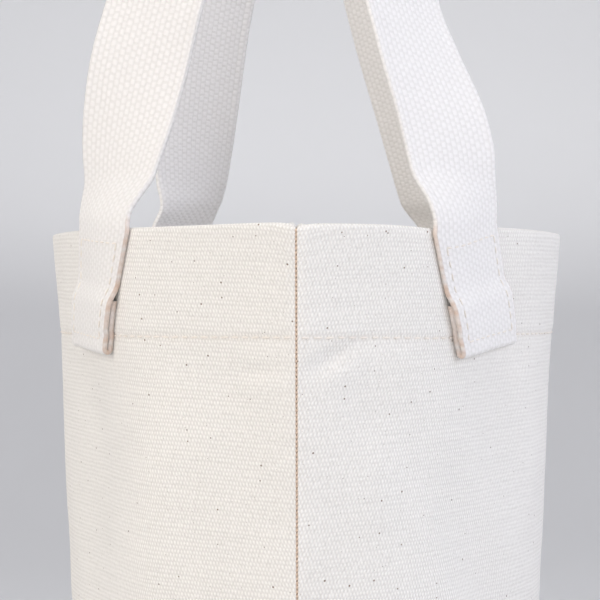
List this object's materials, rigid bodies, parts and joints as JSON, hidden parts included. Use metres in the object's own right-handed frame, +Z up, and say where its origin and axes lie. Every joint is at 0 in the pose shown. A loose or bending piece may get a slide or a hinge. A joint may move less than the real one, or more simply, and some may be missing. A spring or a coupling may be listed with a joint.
{
  "type": "bucket bag",
  "caption": "Small natural cotton canvas bucket bag with an oval base, side seams, a deep stitched hem round the mouth and two webbing handles.",
  "frame": {"origin": "centre of the base, on the surface the bag stands on", "axes": "+Z up towards the mouth and handles; +X along the long way of the mouth, with a side seam at each end; the front panel and its handle are at -Y, the back panel and its handle at +Y"},
  "size_m": [0.184, 0.121, 0.3758],
  "materials": {
    "canvas": "undyed cotton duck, matt",
    "webbing": "undyed cotton webbing, ribbed, matt",
    "thread": "undyed cotton sewing thread, matt",
    "binding_tape": "undyed cotton twill tape, matt"
  },
  "bodies": {
    "bag": {"front_panel": "canvas", "back_panel": "canvas", "base_panel": "canvas", "right_seam_binding": "binding_tape", "left_seam_binding": "binding_tape", "base_seam_binding": "binding_tape", "right_seam_stitching": "thread", "left_seam_stitching": "thread", "base_seam_stitching": "thread", "front_hem_stitching": "thread", "back_hem_stitching": "thread", "front_left_handle_foot": "webbing", "front_left_foot_stitching": "thread", "front_right_handle_foot": "webbing", "front_right_foot_stitching": "thread", "back_left_handle_foot": "webbing", "back_left_foot_stitching": "thread", "back_right_handle_foot": "webbing", "back_right_foot_stitching": "thread"},
    "front_handle": {"front_handle_webbing": "webbing"},
    "back_handle": {"back_handle_webbing": "webbing"}
  },
  "joints": [
    {"name": "front_handle_hinge", "type": "hinge", "parent": "bag", "child": "front_handle", "pos_m": [0, -0.0495, 0.21], "axis": [1, 0, 0], "range_deg": [0, 185]},
    {"name": "back_handle_hinge", "type": "hinge", "parent": "bag", "child": "back_handle", "pos_m": [0, 0.0495, 0.21], "axis": [-1, 0, 0], "range_deg": [0, 185]}
  ]
}
